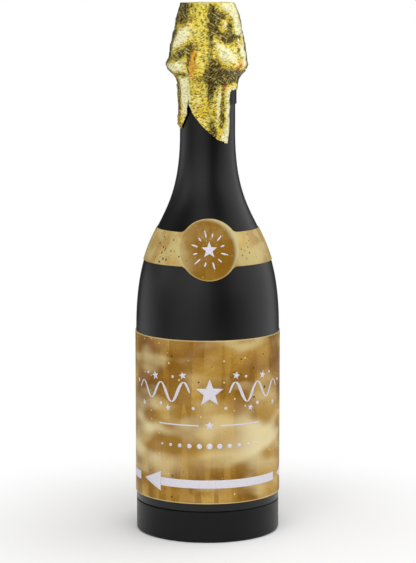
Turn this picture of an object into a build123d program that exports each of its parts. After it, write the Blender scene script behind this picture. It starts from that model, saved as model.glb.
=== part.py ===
from build123d import *
import os
from math import hypot, pi, sin, tau

# Confetti popper in the shape of a champagne bottle, in millimetres.
# It stands on its twist base at z = 0, its axis is Z, and the medallion faces -Y.
# A quarter turn of the base lifts a valve plug, and air from the can fires the barrel.

os.makedirs("parts", exist_ok=True)

# Bottle outline
body_radius = 40.0
neck_radius = 15.3
parting_height = 17.5
parting_gap = 0.25
edge_break = 0.3
body_length = 95.7
shoulder_rise = 110.8
neck_length = 27.5
body_fullness = 0.594  # handle of the shoulder's curve at the body, as a share of the rise
neck_fullness = 0.524  # handle of the shoulder's curve at the neck, as a share of the rise
shell_wall = 1.5
ledge_width = 1.2
key_count = 4
key_width = 3.0
key_length = 6.0

# Labels
label_thickness = 0.4
glue_gap = 0.05
label_lower_margin = 4.65
label_upper_margin = 0.1
label_seam = 0.6
band_height = 17.8
band_rise = 48.6  # from the shoulder's foot to the band's middle
medallion_radius = 16.35
medallion_fillet = 4.0

# Twist base
foot_fillet = 1.5
foot_width = 7.0
foot_recess = 1.0
base_floor = 2.0
socket_wall = 1.8
socket_height = 13.0
base_rib_count = 6
base_rib_width = 2.0
base_rib_height = 9.0
spigot_length = 9.0
spigot_wall = 1.6
spigot_clearance = 0.2
snap_rise = 5.0  # from the base's rim to the middle of the snap bead
snap_bead = 0.45
snap_bead_height = 1.4
snap_clearance = 0.25

# Valve: pin, cam and plug
pin_radius = 1.5
slot_clearance = 0.15
twist_angle = 90.0
cam_lift = 6.0
seat_radius = 6.0
seat_clearance = 0.15
counterbore_step = 2.0
sleeve_wall = 2.5
running_clearance = 0.15
turning_gap = 1.0
seal_land = 5.0
slot_bridge = 2.0
seat_rise = 3.0
flange_thickness = 2.5
closure_depth = 5.0
stem_wall = 2.5
stem_overshoot = 2.0
plug_lip = 0.85
plug_shoulder = 1.5
opening_margin = 1.0
ring_section = 2.0
ring_clearance = 0.05
groove_side_clearance = 0.15
seal_section = 1.6

# Air cylinder
can_radius = 22.5
can_wall = 0.8
can_clearance = 0.1
can_neck_margin = 1.0
can_neck_length = 1.5
can_shoulder_rise = 8.0
bead_width = 1.5
bead_height = 3.0
can_heel_radius = 3.0
can_dome_rise = 5.0
gasket_thickness = 1.0
crimp_wall = 0.8
crimp_clearance = 0.05

# Breech housing and barrel
plate_thickness = 3.0
guide_wall = 3.0
pin_end_margin = 0.3
rim_width = 3.0
rim_height = 8.0
rim_clearance = 0.1
spoke_count = 6
spoke_width = 5.0
window_margin = 2.0
socket_depth = 12.0
barrel_socket_wall = 1.6
barrel_clearance = 0.1
neck_clearance = 0.2
barrel_wall = 1.2
vent_radius = 1.5
vent_count = 6

# Confetti and wad
wad_length = 5.0
wad_clearance = 0.2
charge_gap = 0.2
confetti_thickness = 0.3
confetti_wall_gap = 2.0
confetti_gap = 3.1
confetti_per_layer = 3
confetti_layers = 24
confetti_pitch = 3.2
confetti_tilt = 14.0
layer_turn = 137.5
layer_sway = 0.37  # turns of the lean's wave from layer to layer
place_sway = 0.29  # turns of the lean's wave from disc to disc

# Muzzle collar, stopper and foil
collar_wall = 0.65
collar_clearance = 0.05
collar_height = 13.8
collar_lip = 1.5
lip_gap = 0.2
lip_clearance = 0.2
stopper_gap = 0.3
plug_length = 10.0
stopper_clearance = 0.2
foil_thickness = 0.25
foil_gap = 0.15
foil_slack = 2.0  # room for the foil's dents beside the stopper
skirt_clearance = 0.25
crown_height = 41.2
crown_overhang = 5.9
crown_taper = 5.1
waist_overhang = 0.85
bulge_rise = 6.6
bulge_swell = 0.66
bevel_width = 2.4
bevel_height = 6.8
skirt_taper = 6.0

# Torn edge of the foil: place across the bottle as a share of the skirt's radius,
# then the drop below the collar's top
front_tear = [(-1.0, 25.5), (-0.93, 27.3), (-0.71, 19.5), (-0.66, 12.2), (-0.62, 15.8), (-0.43, 20.4),
              (-0.09, 27.0), (0.25, 32.1), (0.64, 35.2), (0.7, 12.0), (0.76, 6.0), (1.0, 5.6)]
back_tear = [(-1.0, 25.5), (-0.78, 22.0), (-0.5, 15.5), (-0.12, 31.0), (0.2, 17.0),
             (0.55, 24.0), (0.8, 9.0), (1.0, 5.6)]

# Heights along the bottle
rim_z = parting_height - parting_gap / 2
shell_foot_z = parting_height + parting_gap / 2
shoulder_z = parting_height + body_length
neck_z = shoulder_z + shoulder_rise
muzzle_z = neck_z + neck_length
floor_z = foot_recess + base_floor
snap_z = rim_z + snap_rise

# Heights of the valve, from the breech plate down to the can's mouth
slot_radius = pin_radius + slot_clearance
plate_bottom_z = shoulder_z - plate_thickness
sleeve_top_z = plate_bottom_z - turning_gap
pin_high_z = sleeve_top_z - seal_land - slot_radius
pin_z = pin_high_z - cam_lift
seat_top_z = pin_z - slot_radius - slot_bridge
flange_top_z = seat_top_z - seat_rise
gasket_top_z = flange_top_z - flange_thickness
mouth_z = gasket_top_z - gasket_thickness
crimp_top_z = flange_top_z + crimp_clearance + crimp_wall
guide_bottom_z = crimp_top_z + turning_gap

# Radii of the shell, the barrel and the muzzle
bore_radius = body_radius - shell_wall
ledge_radius = bore_radius - ledge_width
neck_bore_radius = neck_radius - shell_wall
barrel_radius = neck_bore_radius - neck_clearance
barrel_bore_radius = barrel_radius - barrel_wall
barrel_socket_radius = barrel_radius + barrel_clearance
collar_radius = neck_radius + collar_clearance + collar_wall
collar_top_z = muzzle_z + lip_gap + collar_lip
skirt_radius = collar_radius + skirt_clearance + foil_thickness

# Radii of the valve and the can
sleeve_bore_radius = seat_radius + counterbore_step
sleeve_radius = sleeve_bore_radius + sleeve_wall
guide_bore_radius = sleeve_radius + running_clearance
guide_radius = guide_bore_radius + guide_wall
can_neck_radius = sleeve_radius + can_neck_margin
bead_radius = can_neck_radius + bead_width
mouth_radius = can_neck_radius - can_wall
stem_radius = pin_radius + stem_wall


def shoulder_curve(foot_radius, top_radius):
    """The shoulder's S-curve, upright at the body and at the neck."""
    return Bezier(
        (foot_radius, shoulder_z),
        (foot_radius, shoulder_z + body_fullness * shoulder_rise),
        (top_radius, neck_z - neck_fullness * shoulder_rise),
        (top_radius, neck_z),
    )


def finish(piece, name):
    """Label one finished piece and write its file."""
    piece.part.label = name
    export_step(piece.part, f"parts/{name}.step")


# Bottle shell: body, shoulder and neck in one moulding, open at the bottom
groove_depth = snap_bead - spigot_clearance + snap_clearance
with BuildPart() as bottle_shell:
    with BuildSketch(Plane.XZ):
        with BuildLine():
            outside = shoulder_curve(body_radius, neck_radius)
            inside = shoulder_curve(ledge_radius, neck_bore_radius)
            Polyline(outside @ 1, (neck_radius, muzzle_z), (neck_bore_radius, muzzle_z), inside @ 1)
            Polyline(
                inside @ 0,
                (bore_radius, shoulder_z),
                (bore_radius, shell_foot_z),
                (body_radius - edge_break, shell_foot_z),
                (body_radius, shell_foot_z + edge_break),
                outside @ 0,
            )
        make_face()
    revolve(axis=Axis.Z)
    # Groove for the base's snap bead
    with BuildSketch(Plane.XZ):
        with Locations((bore_radius, snap_z)):
            Rectangle(2 * groove_depth, snap_bead_height + 2 * snap_clearance)
    revolve(axis=Axis.Z, mode=Mode.SUBTRACT)
    # Keys under the ledge stop the breech housing from turning
    with BuildSketch(Plane.XY.offset(shoulder_z - key_length)):
        with PolarLocations(bore_radius - (ledge_width - shell_wall / 2) / 2, key_count):
            Rectangle(ledge_width + shell_wall / 2, key_width)
    extrude(amount=key_length)
finish(bottle_shell, "bottle_shell")

# Body label: one wrap around the straight wall, with its seam at the back
label_inner_radius = body_radius + glue_gap
label_outer_radius = label_inner_radius + label_thickness
label_bottom_z = parting_height + label_lower_margin
label_height = body_length - label_lower_margin - label_upper_margin
with BuildPart() as body_label:
    with BuildSketch(Plane.XY.offset(label_bottom_z)):
        Circle(label_outer_radius)
        Circle(label_inner_radius, mode=Mode.SUBTRACT)
        with Locations((0, body_radius)):
            Rectangle(label_seam, 4 * label_thickness, mode=Mode.SUBTRACT)
    extrude(amount=label_height)
finish(body_label, "body_label")

# Shoulder label: a band all round with a medallion die-cut into its front
band_z = shoulder_z + band_rise
die_reach = label_outer_radius + label_thickness
with BuildPart() as label_die:
    with BuildSketch(Plane.XZ) as die_outline:
        with Locations((0, band_z)):
            Rectangle(2 * die_reach, band_height)
            Circle(medallion_radius)
        fillet(die_outline.vertices().sort_by(lambda v: abs(v.X))[:4], medallion_fillet)
    extrude(amount=die_reach)
    with BuildSketch(Plane.XZ):
        with Locations((0, band_z)):
            Rectangle(2 * die_reach, band_height)
    extrude(amount=-die_reach)
with BuildPart() as shoulder_label:
    with BuildSketch(Plane.XZ):
        with BuildLine():
            label_back = shoulder_curve(label_inner_radius, neck_radius + glue_gap)
            label_face = shoulder_curve(label_outer_radius, neck_radius + glue_gap + label_thickness)
            Line(label_back @ 0, label_face @ 0)
            Line(label_back @ 1, label_face @ 1)
        make_face()
    revolve(axis=Axis.Z)
    add(label_die.part, mode=Mode.INTERSECT)
finish(shoulder_label, "shoulder_label")

# Twist base: foot ring, floor, outer wall, snap spigot, can socket and ribs
spigot_radius = bore_radius - spigot_clearance
base_inner_radius = spigot_radius - spigot_wall
foot_radius = body_radius - foot_fillet
socket_radius = can_radius + can_clearance
spigot_top_z = rim_z + spigot_length
with BuildPart() as twist_base:
    with BuildSketch(Plane.XZ):
        with BuildLine():
            Polyline(
                (0, foot_recess),
                (foot_radius - foot_width, foot_recess),
                (foot_radius - foot_width, 0),
                (foot_radius, 0),
            )
            RadiusArc((foot_radius, 0), (body_radius, foot_fillet), -foot_fillet)
            Polyline(
                (body_radius, foot_fillet),
                (body_radius, rim_z - edge_break),
                (body_radius - edge_break, rim_z),
                (spigot_radius, rim_z),
                (spigot_radius, spigot_top_z - edge_break),
                (spigot_radius - edge_break, spigot_top_z),
                (base_inner_radius, spigot_top_z),
                (base_inner_radius, floor_z),
                (socket_radius + socket_wall, floor_z),
                (socket_radius + socket_wall, floor_z + socket_height),
                (socket_radius, floor_z + socket_height),
                (socket_radius, floor_z),
                (0, floor_z),
                (0, foot_recess),
            )
        make_face()
    revolve(axis=Axis.Z)
    # Snap bead with sloped faces
    with BuildSketch(Plane.XZ):
        with BuildLine():
            Polyline(
                (spigot_radius - edge_break, snap_z - snap_bead_height / 2),
                (spigot_radius, snap_z - snap_bead_height / 2),
                (spigot_radius + snap_bead, snap_z),
                (spigot_radius, snap_z + snap_bead_height / 2),
                (spigot_radius - edge_break, snap_z + snap_bead_height / 2),
                close=True,
            )
        make_face()
    revolve(axis=Axis.Z)
    # Ribs from the can socket to the outer wall
    rib_start = socket_radius + socket_wall / 2
    rib_end = base_inner_radius + spigot_wall / 2
    with BuildSketch(Plane.XY.offset(floor_z)):
        with PolarLocations((rib_start + rib_end) / 2, base_rib_count):
            Rectangle(rib_end - rib_start, base_rib_width)
    extrude(amount=base_rib_height)
finish(twist_base, "twist_base")


def can_outline(inset):
    """Closed half section of the can, moved in from its outside by inset."""
    heel = can_heel_radius - inset
    side = can_radius - inset
    neck = can_neck_radius - inset
    bottom = floor_z + inset
    neck_foot = mouth_z - bead_height - can_neck_length
    shoulder_foot = neck_foot - can_shoulder_rise
    ThreePointArc(
        (0, bottom + can_dome_rise),
        ((side - heel) / 2, bottom + 0.75 * can_dome_rise),
        (side - heel, bottom),
    )
    RadiusArc((side - heel, bottom), (side, bottom + heel), -heel)
    Line((side, bottom + heel), (side, shoulder_foot))
    Bezier(
        (side, shoulder_foot),
        (side, shoulder_foot + can_shoulder_rise / 2),
        (neck, neck_foot - can_shoulder_rise / 2),
        (neck, neck_foot),
    )
    Polyline((neck, neck_foot), (neck, mouth_z), (0, mouth_z), (0, bottom + can_dome_rise))


# Air cylinder: drawn can with a domed floor and a beaded mouth
with BuildPart() as air_cylinder:
    with BuildSketch(Plane.XZ):
        with BuildLine():
            can_outline(0)
        make_face()
    revolve(axis=Axis.Z)
    with BuildSketch(Plane.XY.offset(mouth_z - bead_height)):
        Circle(bead_radius)
    extrude(amount=bead_height)
    with BuildSketch(Plane.XZ):
        with BuildLine():
            can_outline(can_wall)
        make_face()
    revolve(axis=Axis.Z, mode=Mode.SUBTRACT)
finish(air_cylinder, "air_cylinder")

# Cylinder gasket: flat ring between the can's bead and the valve's flange
with BuildPart() as cylinder_gasket:
    with BuildSketch(Plane.XY.offset(mouth_z)):
        Circle(bead_radius)
        Circle(mouth_radius, mode=Mode.SUBTRACT)
    extrude(amount=gasket_thickness)
finish(cylinder_gasket, "cylinder_gasket")

# Cutter for one cam slot: a helix that runs on past the pin's two end places by half a slot's width
cam_radius = (sleeve_bore_radius + sleeve_radius) / 2
slot_depth = 2 * sleeve_wall
cam_lead = cam_lift * 360 / twist_angle
overrun = slot_radius / hypot(tau * sleeve_bore_radius, cam_lead)  # in turns
with BuildPart() as cam_slot:
    with BuildLine() as cam_path:
        Helix(
            cam_lead,
            cam_lift + 2 * overrun * cam_lead,
            cam_radius,
            center=(0, 0, pin_z - overrun * cam_lead),
        )
    with BuildSketch(Plane(cam_path.line @ 0, x_dir=(1, 0, 0), z_dir=cam_path.line % 0)):
        Rectangle(slot_depth, 2 * slot_radius)
    sweep(path=cam_path.line, is_frenet=True)

# Valve body: closure of the can, valve seat and cam sleeve in one
seal_z = sleeve_top_z - seal_land / 2
seal_groove_height = seal_section + 2 * groove_side_clearance
seal_groove_radius = guide_bore_radius - ring_clearance - seal_section - ring_clearance
with BuildPart() as valve_body:
    with BuildSketch(Plane.XZ):
        with BuildLine():
            Polyline(
                (seat_radius, mouth_z - closure_depth),
                (mouth_radius - can_clearance, mouth_z - closure_depth),
                (mouth_radius - can_clearance, gasket_top_z),
                (bead_radius, gasket_top_z),
                (bead_radius, flange_top_z),
                (sleeve_radius, flange_top_z),
                (sleeve_radius, seal_z - seal_groove_height / 2),
                (seal_groove_radius, seal_z - seal_groove_height / 2),
                (seal_groove_radius, seal_z + seal_groove_height / 2),
                (sleeve_radius, seal_z + seal_groove_height / 2),
                (sleeve_radius, sleeve_top_z),
                (sleeve_bore_radius, sleeve_top_z),
                (sleeve_bore_radius, seat_top_z),
                (seat_radius, seat_top_z),
                close=True,
            )
        make_face()
    revolve(axis=Axis.Z)
    with PolarLocations(0, 2, start_angle=-360 * overrun):
        add(cam_slot.part, mode=Mode.SUBTRACT)
finish(valve_body, "valve_body")

# Breech seal: ring that keeps air inside the turning sleeve
with BuildPart() as breech_seal:
    with BuildSketch(Plane.XZ):
        with Locations((seal_groove_radius + ring_clearance + seal_section / 2, seal_z)):
            Circle(seal_section / 2)
    revolve(axis=Axis.Z)
finish(breech_seal, "breech_seal")

# Crimp ring: C-section that grips the bead, the gasket and the flange
crimp_inner_radius = bead_radius + crimp_clearance
crimp_radius = crimp_inner_radius + crimp_wall
bead_bottom_z = mouth_z - bead_height - crimp_clearance
with BuildPart() as crimp_ring:
    with BuildSketch(Plane.XZ):
        with BuildLine():
            Polyline(
                (can_neck_radius + can_clearance, bead_bottom_z - crimp_wall),
                (crimp_radius, bead_bottom_z - crimp_wall),
                (crimp_radius, crimp_top_z),
                (sleeve_radius + running_clearance, crimp_top_z),
                (sleeve_radius + running_clearance, crimp_top_z - crimp_wall),
                (crimp_inner_radius, crimp_top_z - crimp_wall),
                (crimp_inner_radius, bead_bottom_z),
                (can_neck_radius + can_clearance, bead_bottom_z),
                close=True,
            )
        make_face()
    revolve(axis=Axis.Z)
finish(crimp_ring, "crimp_ring")

# Valve plug: sealing head with a ring groove, and a stem that carries the cross pin
plug_radius = seat_radius - seat_clearance
ring_z = seat_top_z - (cam_lift - ring_section / 2 - opening_margin)
ring_center_radius = seat_radius - ring_clearance - ring_section / 2
groove_radius = ring_center_radius - ring_section / 2 - ring_clearance
groove_height = ring_section + 2 * groove_side_clearance
with BuildPart() as valve_plug:
    with BuildSketch(Plane.XZ):
        with BuildLine():
            Polyline(
                (0, ring_z - groove_height / 2 - plug_lip),
                (plug_radius, ring_z - groove_height / 2 - plug_lip),
                (plug_radius, ring_z - groove_height / 2),
                (groove_radius, ring_z - groove_height / 2),
                (groove_radius, ring_z + groove_height / 2),
                (plug_radius, ring_z + groove_height / 2),
                (plug_radius, ring_z + groove_height / 2 + plug_shoulder),
                (stem_radius, ring_z + groove_height / 2 + plug_shoulder),
                (stem_radius, pin_z + pin_radius + stem_overshoot),
                (0, pin_z + pin_radius + stem_overshoot),
                close=True,
            )
        make_face()
    revolve(axis=Axis.Z)
    with Locations(Location((0, 0, pin_z), (0, 90, 0))):
        Cylinder(pin_radius + ring_clearance, 4 * stem_radius, mode=Mode.SUBTRACT)
finish(valve_plug, "valve_plug")

# Plug O-ring
with BuildPart() as plug_o_ring:
    with BuildSketch(Plane.XZ):
        with Locations((ring_center_radius, ring_z)):
            Circle(ring_section / 2)
    revolve(axis=Axis.Z)
finish(plug_o_ring, "plug_o_ring")

# Cross pin: through the stem, the cam slots and the housing's straight slots
pin_length = 2 * (guide_radius - pin_end_margin)
with BuildPart() as cross_pin:
    with BuildSketch(Plane.YZ.offset(-pin_length / 2)):
        with Locations((0, pin_z)):
            Circle(pin_radius)
    extrude(amount=pin_length)
    chamfer(cross_pin.edges().filter_by(GeomType.CIRCLE), edge_break)
finish(cross_pin, "cross_pin")

# Breech housing: guide tube, vented plate, spoked rim and barrel socket
rim_radius = bore_radius - rim_clearance
rim_inner_radius = rim_radius - rim_width - ledge_width
barrel_socket_outer = barrel_socket_radius + barrel_socket_wall
hub_radius = max(guide_radius, barrel_socket_outer)
with BuildPart() as breech_housing:
    with BuildSketch(Plane.XZ):
        with BuildLine():
            Polyline(
                (0, plate_bottom_z),
                (guide_bore_radius, plate_bottom_z),
                (guide_bore_radius, guide_bottom_z),
                (guide_radius, guide_bottom_z),
                (guide_radius, plate_bottom_z),
                (rim_inner_radius, plate_bottom_z),
                (rim_inner_radius, shoulder_z - rim_height),
                (rim_radius, shoulder_z - rim_height),
                (rim_radius, shoulder_z),
                (barrel_socket_outer, shoulder_z),
                (barrel_socket_outer, shoulder_z + socket_depth),
                (barrel_socket_radius, shoulder_z + socket_depth),
                (barrel_socket_radius, shoulder_z),
                (0, shoulder_z),
                close=True,
            )
        make_face()
    revolve(axis=Axis.Z)
    # Windows between the spokes
    window_inner = hub_radius + window_margin
    window_outer = rim_inner_radius - window_margin
    with BuildSketch(Plane.XY.offset(plate_bottom_z)):
        Circle(window_outer)
        Circle(window_inner, mode=Mode.SUBTRACT)
        with PolarLocations((window_inner + window_outer) / 2, spoke_count):
            Rectangle(window_outer, spoke_width, mode=Mode.SUBTRACT)
    extrude(amount=plate_thickness, mode=Mode.SUBTRACT)
    # Notches over the shell's keys
    with BuildSketch(Plane.XY.offset(shoulder_z - rim_height)):
        with PolarLocations(rim_radius, key_count):
            Rectangle(2 * (ledge_width + rim_clearance), key_width + 2 * rim_clearance)
    extrude(amount=rim_height, mode=Mode.SUBTRACT)
    # Vents from the sleeve to the barrel
    with Locations((0, 0, shoulder_z - plate_thickness / 2)):
        Cylinder(vent_radius, 2 * plate_thickness, mode=Mode.SUBTRACT)
        with PolarLocations(sleeve_bore_radius - 2 * vent_radius, vent_count):
            Cylinder(vent_radius, 2 * plate_thickness, mode=Mode.SUBTRACT)
    # Straight slots that keep the cross pin from turning
    with BuildSketch(Plane.YZ):
        with Locations((0, (pin_z + pin_high_z) / 2)):
            SlotCenterToCenter(cam_lift, 2 * slot_radius, rotation=90)
    extrude(amount=2 * guide_radius, both=True, mode=Mode.SUBTRACT)
finish(breech_housing, "breech_housing")

# Barrel tube: rolled card, from the breech plate to the muzzle
with BuildPart() as barrel_tube:
    with BuildSketch(Plane.XY.offset(shoulder_z)):
        Circle(barrel_radius)
        Circle(barrel_bore_radius, mode=Mode.SUBTRACT)
    extrude(amount=muzzle_z - shoulder_z)
finish(barrel_tube, "barrel_tube")

# Wad: felt piston that pushes the confetti out
wad_z = shoulder_z + charge_gap
with BuildPart() as wad:
    with BuildSketch(Plane.XY.offset(wad_z)):
        Circle(barrel_bore_radius - wad_clearance)
    extrude(amount=wad_length)
finish(wad, "wad")


# Discs of one layer stand in a ring, clear of the bore and of each other
layer_radius = barrel_bore_radius - confetti_wall_gap
layer_share = sin(pi / confetti_per_layer)
confetti_radius = (layer_radius * layer_share - confetti_gap / 2) / (1 + layer_share)


def confetti_places(colour):
    """Places of every second paper disc, in tilted rings that turn from layer to layer."""
    first_z = wad_z + wad_length + confetti_pitch / 2
    ring_radius = layer_radius - confetti_radius
    places = []
    for layer in range(confetti_layers):
        for place in range(confetti_per_layer):
            if (layer + place) % 2 != colour:
                continue
            turn = layer * layer_turn + place * 360 / confetti_per_layer
            lean = confetti_tilt * sin(tau * (layer_sway * layer + place_sway * place))
            ring = Location((0, 0, first_z + layer * confetti_pitch), (0, 0, turn))
            places.append(ring * Location((ring_radius, 0, 0), (lean, confetti_tilt - abs(lean), 0)))
    return places


# Confetti: loose paper discs in two colours
for colour, name in enumerate(("confetti_gold", "confetti_white")):
    with BuildPart() as confetti:
        with Locations(*confetti_places(colour)):
            Cylinder(confetti_radius, confetti_thickness)
    finish(confetti, name)

# Muzzle collar: sleeve over the neck with a lip over the barrel's end
with BuildPart() as muzzle_collar:
    with BuildSketch(Plane.XZ):
        with BuildLine():
            Polyline(
                (neck_radius + collar_clearance, collar_top_z - collar_height),
                (collar_radius, collar_top_z - collar_height),
                (collar_radius, collar_top_z - edge_break),
                (collar_radius - edge_break, collar_top_z),
                (barrel_bore_radius + lip_clearance, collar_top_z),
                (barrel_bore_radius + lip_clearance, collar_top_z - collar_lip),
                (neck_radius + collar_clearance, collar_top_z - collar_lip),
                close=True,
            )
        make_face()
    revolve(axis=Axis.Z)
finish(muzzle_collar, "muzzle_collar")

# Crown of the cap, shared by the foil and the stopper inside it
crown_foot_z = collar_top_z + stopper_gap
crown_top_z = crown_foot_z + crown_height
crown_radius = skirt_radius + crown_overhang
waist_radius = skirt_radius + waist_overhang


def crown_outline(inset, drop):
    """Top, bevel, cone and bulge of the crown, moved in by inset and down by drop; ends at the waist."""
    top = crown_top_z - drop
    top_radius = crown_radius - crown_taper - bevel_width - inset
    bevel_radius = crown_radius - crown_taper - inset
    bulge_z = crown_foot_z + bulge_rise
    Polyline(
        (0, top),
        (top_radius, top),
        (bevel_radius, top - bevel_height),
        (crown_radius - inset, bulge_z),
    )
    Bezier(
        (crown_radius - inset, bulge_z),
        (crown_radius - inset + bulge_swell, bulge_z - bulge_rise / 2),
        (waist_radius - inset, bulge_z - bulge_rise / 2),
        (waist_radius - inset, crown_foot_z),
    )


# Stopper: mushroom head under the foil, with a plug in the barrel
stopper_inset = foil_thickness + foil_slack
stopper_drop = foil_thickness + foil_gap
stopper_plug_radius = barrel_bore_radius - stopper_clearance
with BuildPart() as stopper:
    with BuildSketch(Plane.XZ):
        with BuildLine():
            crown_outline(stopper_inset, stopper_drop)
            Polyline(
                (waist_radius - stopper_inset, crown_foot_z),
                (stopper_plug_radius, crown_foot_z),
                (stopper_plug_radius, crown_foot_z - plug_length + edge_break),
                (stopper_plug_radius - edge_break, crown_foot_z - plug_length),
                (0, crown_foot_z - plug_length),
                (0, crown_top_z - stopper_drop),
            )
        make_face()
    revolve(axis=Axis.Z)
finish(stopper, "stopper")

# Foil cap: foil over the crown, with a skirt torn off along the neck
skirt_bottom_z = collar_top_z - max(drop for _, drop in front_tear + back_tear)
skirt_taper_z = collar_top_z - skirt_taper


def tear_outline(points):
    """Everything below the torn edge, out past the skirt and down past its end."""
    side = 1.5 * skirt_radius
    below = skirt_bottom_z - skirt_taper
    edge = [(share * skirt_radius, collar_top_z - drop) for share, drop in points]
    Polyline(
        (-side, below),
        (-side, edge[0][1]),
        *edge,
        (side, edge[-1][1]),
        (side, below),
        close=True,
    )


with BuildPart() as foil_cap:
    with BuildSketch(Plane.XZ):
        with BuildLine():
            crown_outline(0, 0)
            Polyline(
                (waist_radius, crown_foot_z),
                (skirt_radius, skirt_taper_z),
                (skirt_radius, skirt_bottom_z),
                (skirt_radius - foil_thickness, skirt_bottom_z),
                (skirt_radius - foil_thickness, skirt_taper_z),
                (waist_radius - foil_thickness, crown_foot_z),
            )
            crown_outline(foil_thickness, foil_thickness)
            Line((0, crown_top_z - foil_thickness), (0, crown_top_z))
        make_face()
    revolve(axis=Axis.Z)
    with BuildSketch(Plane.XZ):
        with BuildLine():
            tear_outline(front_tear)
        make_face()
    extrude(amount=2 * skirt_radius, mode=Mode.SUBTRACT)
    with BuildSketch(Plane.XZ):
        with BuildLine():
            tear_outline(back_tear)
        make_face()
    extrude(amount=-2 * skirt_radius, mode=Mode.SUBTRACT)
finish(foil_cap, "foil_cap")
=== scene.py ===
import math

import bmesh
import bpy
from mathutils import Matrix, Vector, noise
from mathutils.bvhtree import BVHTree


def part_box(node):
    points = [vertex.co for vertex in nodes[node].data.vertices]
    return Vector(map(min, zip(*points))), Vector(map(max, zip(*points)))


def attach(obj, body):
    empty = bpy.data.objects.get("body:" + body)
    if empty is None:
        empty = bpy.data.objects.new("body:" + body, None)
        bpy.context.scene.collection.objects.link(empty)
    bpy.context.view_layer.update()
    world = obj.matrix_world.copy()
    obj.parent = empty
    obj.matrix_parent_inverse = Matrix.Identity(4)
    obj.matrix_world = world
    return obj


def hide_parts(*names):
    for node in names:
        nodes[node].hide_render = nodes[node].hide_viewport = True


# Confetti popper in the shape of a champagne bottle: finishes, crumpled foil, label print, floor and light.
# Sizes are in metres, the axis is Z, the front is -Y, and angles turn from the front towards +X.

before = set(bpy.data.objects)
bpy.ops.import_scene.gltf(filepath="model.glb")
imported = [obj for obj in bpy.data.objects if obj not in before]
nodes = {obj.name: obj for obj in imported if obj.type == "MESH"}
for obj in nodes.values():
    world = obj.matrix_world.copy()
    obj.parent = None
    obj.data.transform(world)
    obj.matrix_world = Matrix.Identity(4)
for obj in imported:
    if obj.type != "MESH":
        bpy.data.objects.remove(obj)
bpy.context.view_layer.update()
mm = 0.001

# Sizes taken from the solids
label_low, label_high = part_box("body_label")
label_radius = label_high.x
band_low, band_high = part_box("shoulder_label")
medallion_z = (band_low.z + band_high.z) / 2
medallion_radius = (band_high.z - band_low.z) / 2
_, collar_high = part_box("muzzle_collar")
collar_radius = collar_high.x
_, foil_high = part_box("foil_cap")

# The photograph is taken from a little left of the medallion
camera_turn = math.radians(1.55)


# Colours and shader nodes


def srgb(red, green, blue):
    """Linear colour of an 8-bit screen colour."""
    return tuple(
        c / 255 / 12.92 if c <= 10 else ((c / 255 + 0.055) / 1.055) ** 2.4 for c in (red, green, blue)
    )


def plug(tree, socket, value):
    """Link a socket to another one, or set its value."""
    if isinstance(value, bpy.types.NodeSocket):
        tree.links.new(value, socket)
    else:
        socket.default_value = value


def add(tree, kind, inputs=(), **settings):
    """Add a shader node with its settings and inputs."""
    made = tree.nodes.new("ShaderNode" + kind)
    for key, value in settings.items():
        setattr(made, key, value)
    for key, value in dict(inputs).items():
        plug(tree, made.inputs[key], value)
    return made


def calculate(tree, operation, *values):
    """Result of a math node."""
    return add(tree, "Math", enumerate(values), operation=operation).outputs[0]


def ramp(tree, factor, stops):
    """Colour from a ramp of (position, colour) stops."""
    made = add(tree, "ValToRGB", {"Fac": factor})
    elements = made.color_ramp.elements
    while len(elements) < len(stops):
        elements.new(1.0)
    for element, (position, colour) in zip(elements, stops):
        element.position = position
        element.color = (*colour, 1)
    return made.outputs["Color"]


def fade(tree, value, start, end):
    """Smooth step from 0 at start to 1 at end."""
    inputs = {"Value": value, "From Min": start, "From Max": end}
    return add(tree, "MapRange", inputs, interpolation_type="SMOOTHSTEP").outputs["Result"]


def mix(tree, factor, first, second):
    """Mix of two colours."""
    made = add(tree, "Mix", {"Factor": factor}, data_type="RGBA")
    plug(tree, made.inputs["A"], first if isinstance(first, bpy.types.NodeSocket) else (*first, 1))
    plug(tree, made.inputs["B"], second if isinstance(second, bpy.types.NodeSocket) else (*second, 1))
    return made.outputs["Result"]


def tint(tree, colour, mask, strength, shade):
    """Colour with a shade laid over it where the mask is 1."""
    return mix(tree, calculate(tree, "MULTIPLY", mask, strength), colour, shade)


def clouds(tree, vector, size, detail=2.0, stretch=(1, 1, 1), seed=0.0):
    """Noise from 0 to 1 whose features are about size across, stretched along each axis."""
    scale = [1 / (size * share) for share in stretch]
    place = add(tree, "Mapping", {"Vector": vector, "Scale": scale, "Location": [seed] * 3}).outputs[0]
    return add(tree, "TexNoise", {"Vector": place, "Scale": 1.0, "Detail": detail}).outputs[0]


def new_material(name, colour, roughness, metallic=0.0):
    """A material with its node tree and its shader."""
    made = bpy.data.materials.new(name)
    made.use_nodes = True
    shader = made.node_tree.nodes["Principled BSDF"]
    shader.inputs["Base Color"].default_value = (*colour, 1)
    shader.inputs["Roughness"].default_value = roughness
    shader.inputs["Metallic"].default_value = metallic
    return made, made.node_tree, shader


def distance(tree, first, second=(0, 0, 0)):
    """Distance between two places, or from the origin."""
    return add(tree, "VectorMath", {0: first, 1: second}, operation="DISTANCE").outputs["Value"]


def away(tree, value, middle):
    """How far a value is from a middle one."""
    return calculate(tree, "ABSOLUTE", calculate(tree, "SUBTRACT", value, middle))


def angle_round(tree, split):
    """Angle about the axis, from the front towards +X."""
    return calculate(tree, "ARCTAN2", split["X"], calculate(tree, "MULTIPLY", split["Y"], -1.0))


def bump(tree, shader, height, depth):
    """Fine relief of the given depth."""
    made = add(tree, "Bump", {"Height": height, "Distance": depth, "Strength": 1.0})
    plug(tree, shader.inputs["Normal"], made.outputs["Normal"])


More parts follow.
